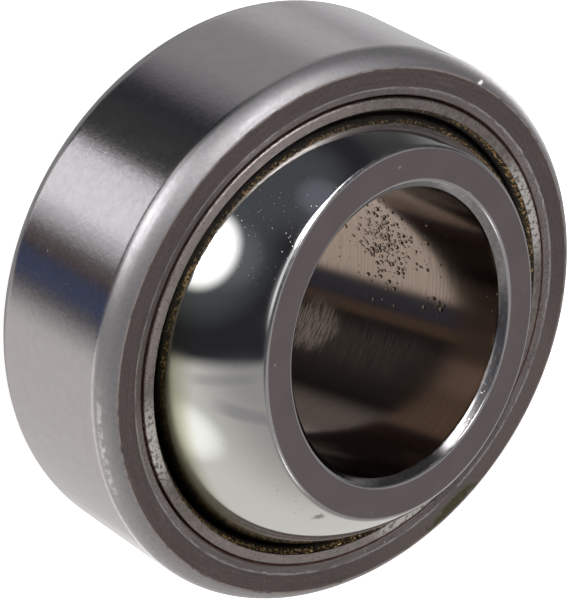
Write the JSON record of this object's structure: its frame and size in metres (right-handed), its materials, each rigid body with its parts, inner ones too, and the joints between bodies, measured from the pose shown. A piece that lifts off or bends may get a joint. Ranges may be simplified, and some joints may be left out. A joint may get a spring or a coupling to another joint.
{
  "type": "spherical plain bearing",
  "caption": "Spherical plain bearing: a wide chromed ball-shaped inner ring with a straight bore swivels in a steel outer ring lined with a bronze sliding strip.",
  "frame": {"origin": "centre of the ball, on the axis of the bore", "axes": "+Z along the bore; the part stands on the inner ring's lower end face; the outer ring leans about +Y, its upper side towards +X"},
  "size_m": [0.031, 0.03, 0.016],
  "materials": {
    "chromed_steel": "mirror-bright chromed ball, satin turned end faces, dark bore",
    "ring_steel": "ground outside, dark turned end faces, rounded satin shoulders",
    "strip_steel": "cut strip edge, grey and finely pitted",
    "sliding_bronze": "golden brown sintered bronze with a ragged edge"
  },
  "bodies": {
    "inner": {"inner_ring": "chromed_steel"},
    "outer": {"outer_ring": "ring_steel", "liner_backing": "strip_steel", "sliding_layer": "sliding_bronze"}
  },
  "joints": [
    {"name": "swivel", "type": "hinge", "parent": "inner", "child": "outer", "pos_m": [0, 0, 0], "axis": [0, 1, 0], "range_deg": [-23.35, 2.65]}
  ]
}
